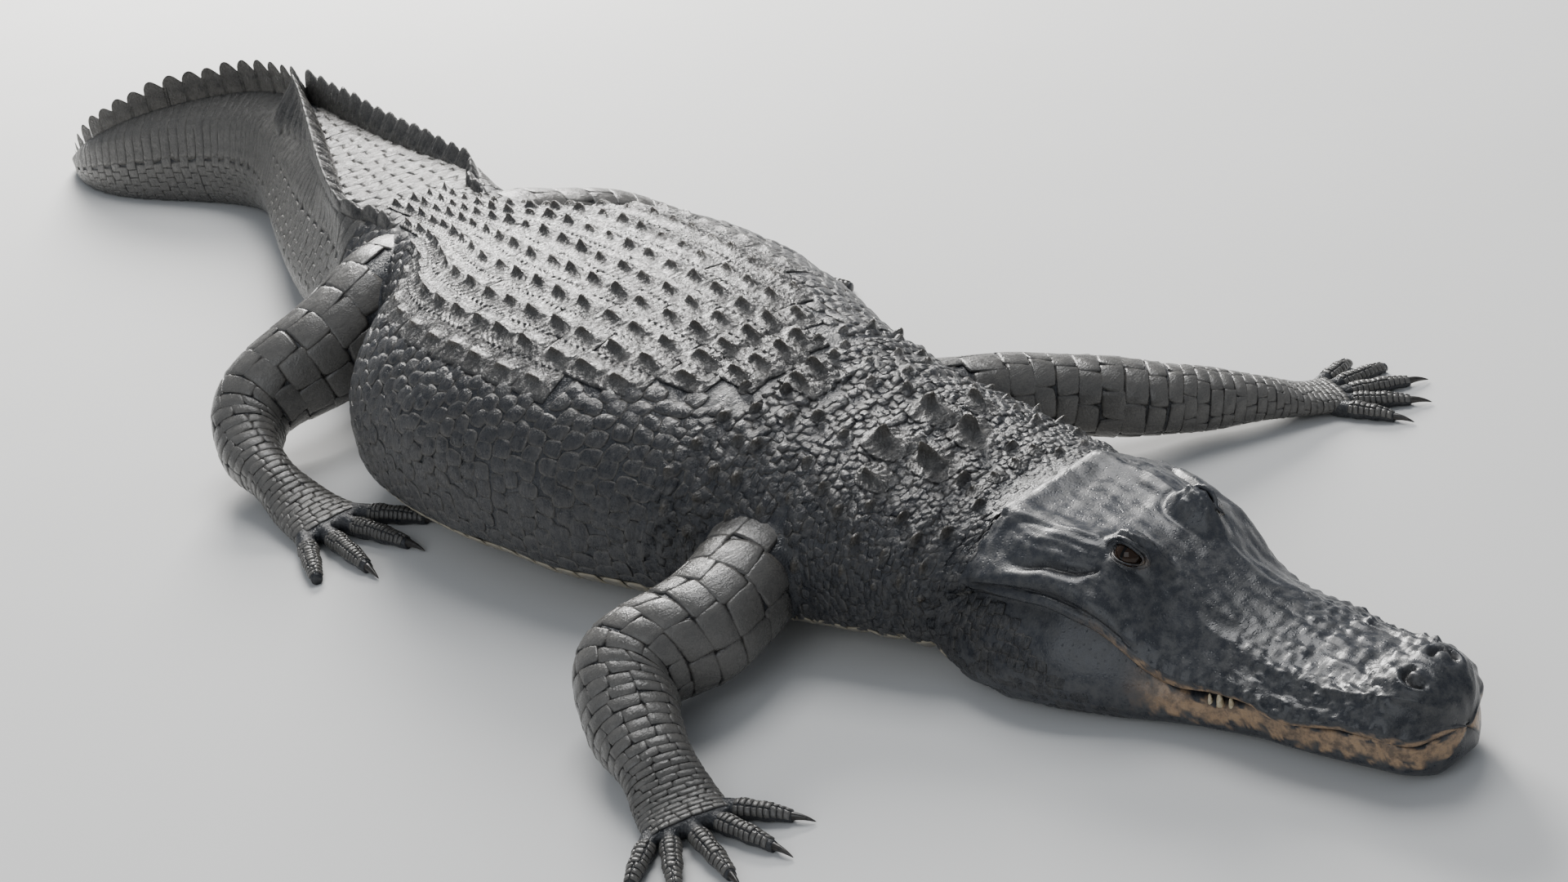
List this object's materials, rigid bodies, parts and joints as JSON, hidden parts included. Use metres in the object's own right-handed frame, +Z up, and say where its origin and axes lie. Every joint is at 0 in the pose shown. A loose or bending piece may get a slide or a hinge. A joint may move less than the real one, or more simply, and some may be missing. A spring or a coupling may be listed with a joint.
{
  "type": "american alligator",
  "caption": "Life-size still model of an adult american alligator lying on its belly, head forward, limbs out to the sides and tail curved away.",
  "frame": {"origin": "on the floor under the middle of the bounding box of the whole animal", "axes": "+X runs forward towards the snout, along the longest side; +Y is the animal's left; +Z is up"},
  "size_m": [3.1358, 1.1542, 0.2829],
  "materials": {
    "hide": "dry to damp slate grey scaly hide, satin with glossy wrinkles",
    "head_hide": "smooth tight blue grey hide over the skull, satin, tan lip margin",
    "limb_hide": "dark plated hide, glossy bands",
    "eye": "wet dark brown eyeball, very glossy",
    "claw": "dark horn, semi matt"
  },
  "bodies": {
    "root": {"head_upper": "head_hide", "lower_jaw": "head_hide", "eye_right": "eye", "eye_left": "eye", "neck": "hide", "chest": "hide", "belly": "hide", "pelvis": "hide", "tail_1": "hide", "tail_2": "hide", "tail_3": "hide", "tail_4": "hide", "tail_5": "hide", "upper_arm_right": "limb_hide", "forearm_right": "limb_hide", "hand_right": "limb_hide", "claw_hand_right_1": "claw", "claw_hand_right_2": "claw", "claw_hand_right_3": "claw", "upper_arm_left": "limb_hide", "forearm_left": "limb_hide", "hand_left": "limb_hide", "claw_hand_left_1": "claw", "claw_hand_left_2": "claw", "claw_hand_left_3": "claw", "thigh_right": "limb_hide", "shank_right": "limb_hide", "foot_right": "limb_hide", "claw_foot_right_1": "claw", "claw_foot_right_2": "claw", "claw_foot_right_3": "claw", "thigh_left": "limb_hide", "shank_left": "limb_hide", "foot_left": "limb_hide", "claw_foot_left_1": "claw", "claw_foot_left_2": "claw", "claw_foot_left_3": "claw"}
  },
  "joints": []
}
